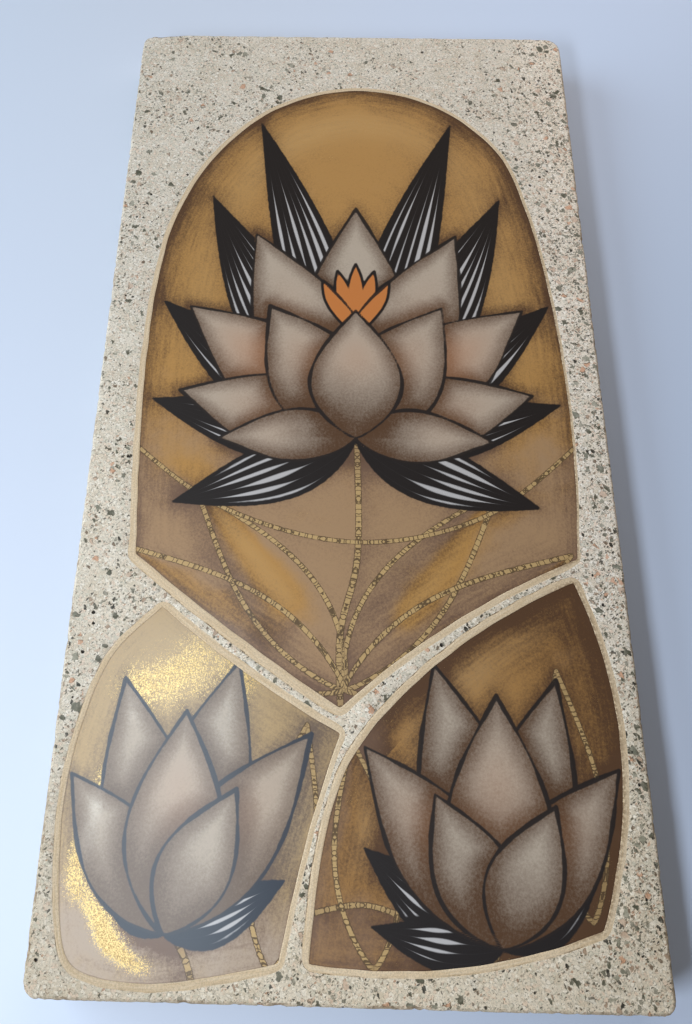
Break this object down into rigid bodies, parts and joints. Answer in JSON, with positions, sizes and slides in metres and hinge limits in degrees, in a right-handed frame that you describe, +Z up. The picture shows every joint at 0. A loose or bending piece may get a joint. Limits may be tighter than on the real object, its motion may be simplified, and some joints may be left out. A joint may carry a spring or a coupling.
{
  "type": "decorative wall plaque",
  "caption": "Upright cast terrazzo slab with round corners; painted tiles, an arched one above lower ones, sit in flush cement rims; hangs flat on a wall as decoration.",
  "frame": {"origin": "middle of the flat back, where the plaque lies against the wall", "axes": "+Z up as hung, +Y out of the back into the wall, so the painted face looks along -Y; +X to the viewer's right"},
  "size_m": [0.25, 0.02, 0.4984],
  "materials": {
    "terrazzo": "satin",
    "painted_tile": "gloss"
  },
  "bodies": {
    "root": {"terrazzo_slab": "terrazzo", "upper_tile": "painted_tile", "lower_left_tile": "painted_tile", "lower_right_tile": "painted_tile"}
  },
  "joints": []
}
